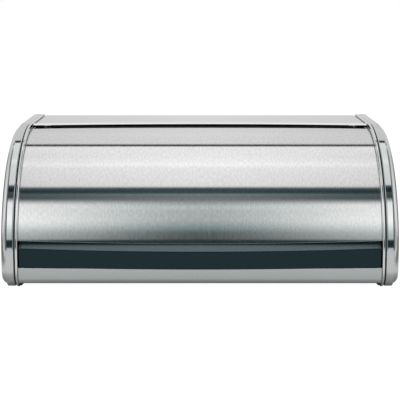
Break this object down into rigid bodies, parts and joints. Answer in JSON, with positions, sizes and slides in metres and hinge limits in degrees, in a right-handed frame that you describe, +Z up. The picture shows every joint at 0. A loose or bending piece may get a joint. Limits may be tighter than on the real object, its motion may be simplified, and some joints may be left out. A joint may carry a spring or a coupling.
{
  "type": "bread box with roll top",
  "caption": "Wide bread box with capped metal ends, a flat top and a curved roll-top door that turns back under the top on a circular track.",
  "frame": {"origin": "centre of the footprint on the surface the box stands on (bottom centre of the bounding box)", "axes": "+X along the width, to the right seen from the front; -Y is the front with the door and handle; +Z is up"},
  "size_m": [0.458, 0.268, 0.177],
  "materials": {
    "shell_steel": "satin pressed stainless steel",
    "band_steel": "polished stainless steel",
    "rim_steel": "bright trim",
    "door_steel": "brushed stainless steel, grain round the curve",
    "top_steel": "brushed stainless steel, grain front to back",
    "body_steel": "satin sheet steel",
    "handle_plastic": "dark blue-grey satin plastic",
    "black_plastic": "moulded black plastic",
    "runner_nylon": "natural nylon",
    "rubber_black": "soft black rubber",
    "zinc_hardware": "bright zinc plating"
  },
  "bodies": {
    "box": {"end_shell_left": "shell_steel", "end_shell_right": "shell_steel", "end_band_left": "band_steel", "end_band_right": "band_steel", "end_rim_left": "rim_steel", "end_rim_right": "rim_steel", "end_plate_left": "black_plastic", "end_plate_right": "black_plastic", "end_spacers_left": "zinc_hardware", "end_spacers_right": "zinc_hardware", "end_screws_left": "zinc_hardware", "end_screws_right": "zinc_hardware", "top_plate": "top_steel", "top_stiffener": "body_steel", "back_panel": "body_steel", "tray_panel": "body_steel", "front_sill": "body_steel", "panel_screws_left": "zinc_hardware", "panel_screws_right": "zinc_hardware", "foot_front_left": "rubber_black", "foot_front_right": "rubber_black", "foot_rear_left": "rubber_black", "foot_rear_right": "rubber_black", "foot_screws": "zinc_hardware", "foot_nuts": "zinc_hardware", "closing_bumper_left": "rubber_black", "closing_bumper_right": "rubber_black", "opening_stop_left": "rubber_black", "opening_stop_right": "rubber_black"},
    "roll_door": {"door_sheet": "door_steel", "door_handle": "handle_plastic", "handle_clamp_strip": "zinc_hardware", "handle_studs": "zinc_hardware", "handle_nuts": "zinc_hardware", "door_runner_left": "runner_nylon", "door_runner_right": "runner_nylon", "door_rear_strip": "black_plastic"}
  },
  "joints": [
    {"name": "door_roll", "type": "hinge", "parent": "box", "child": "roll_door", "pos_m": [0, 0.018, 0.03], "axis": [-1, 0, 0], "range_deg": [0, 47]}
  ]
}
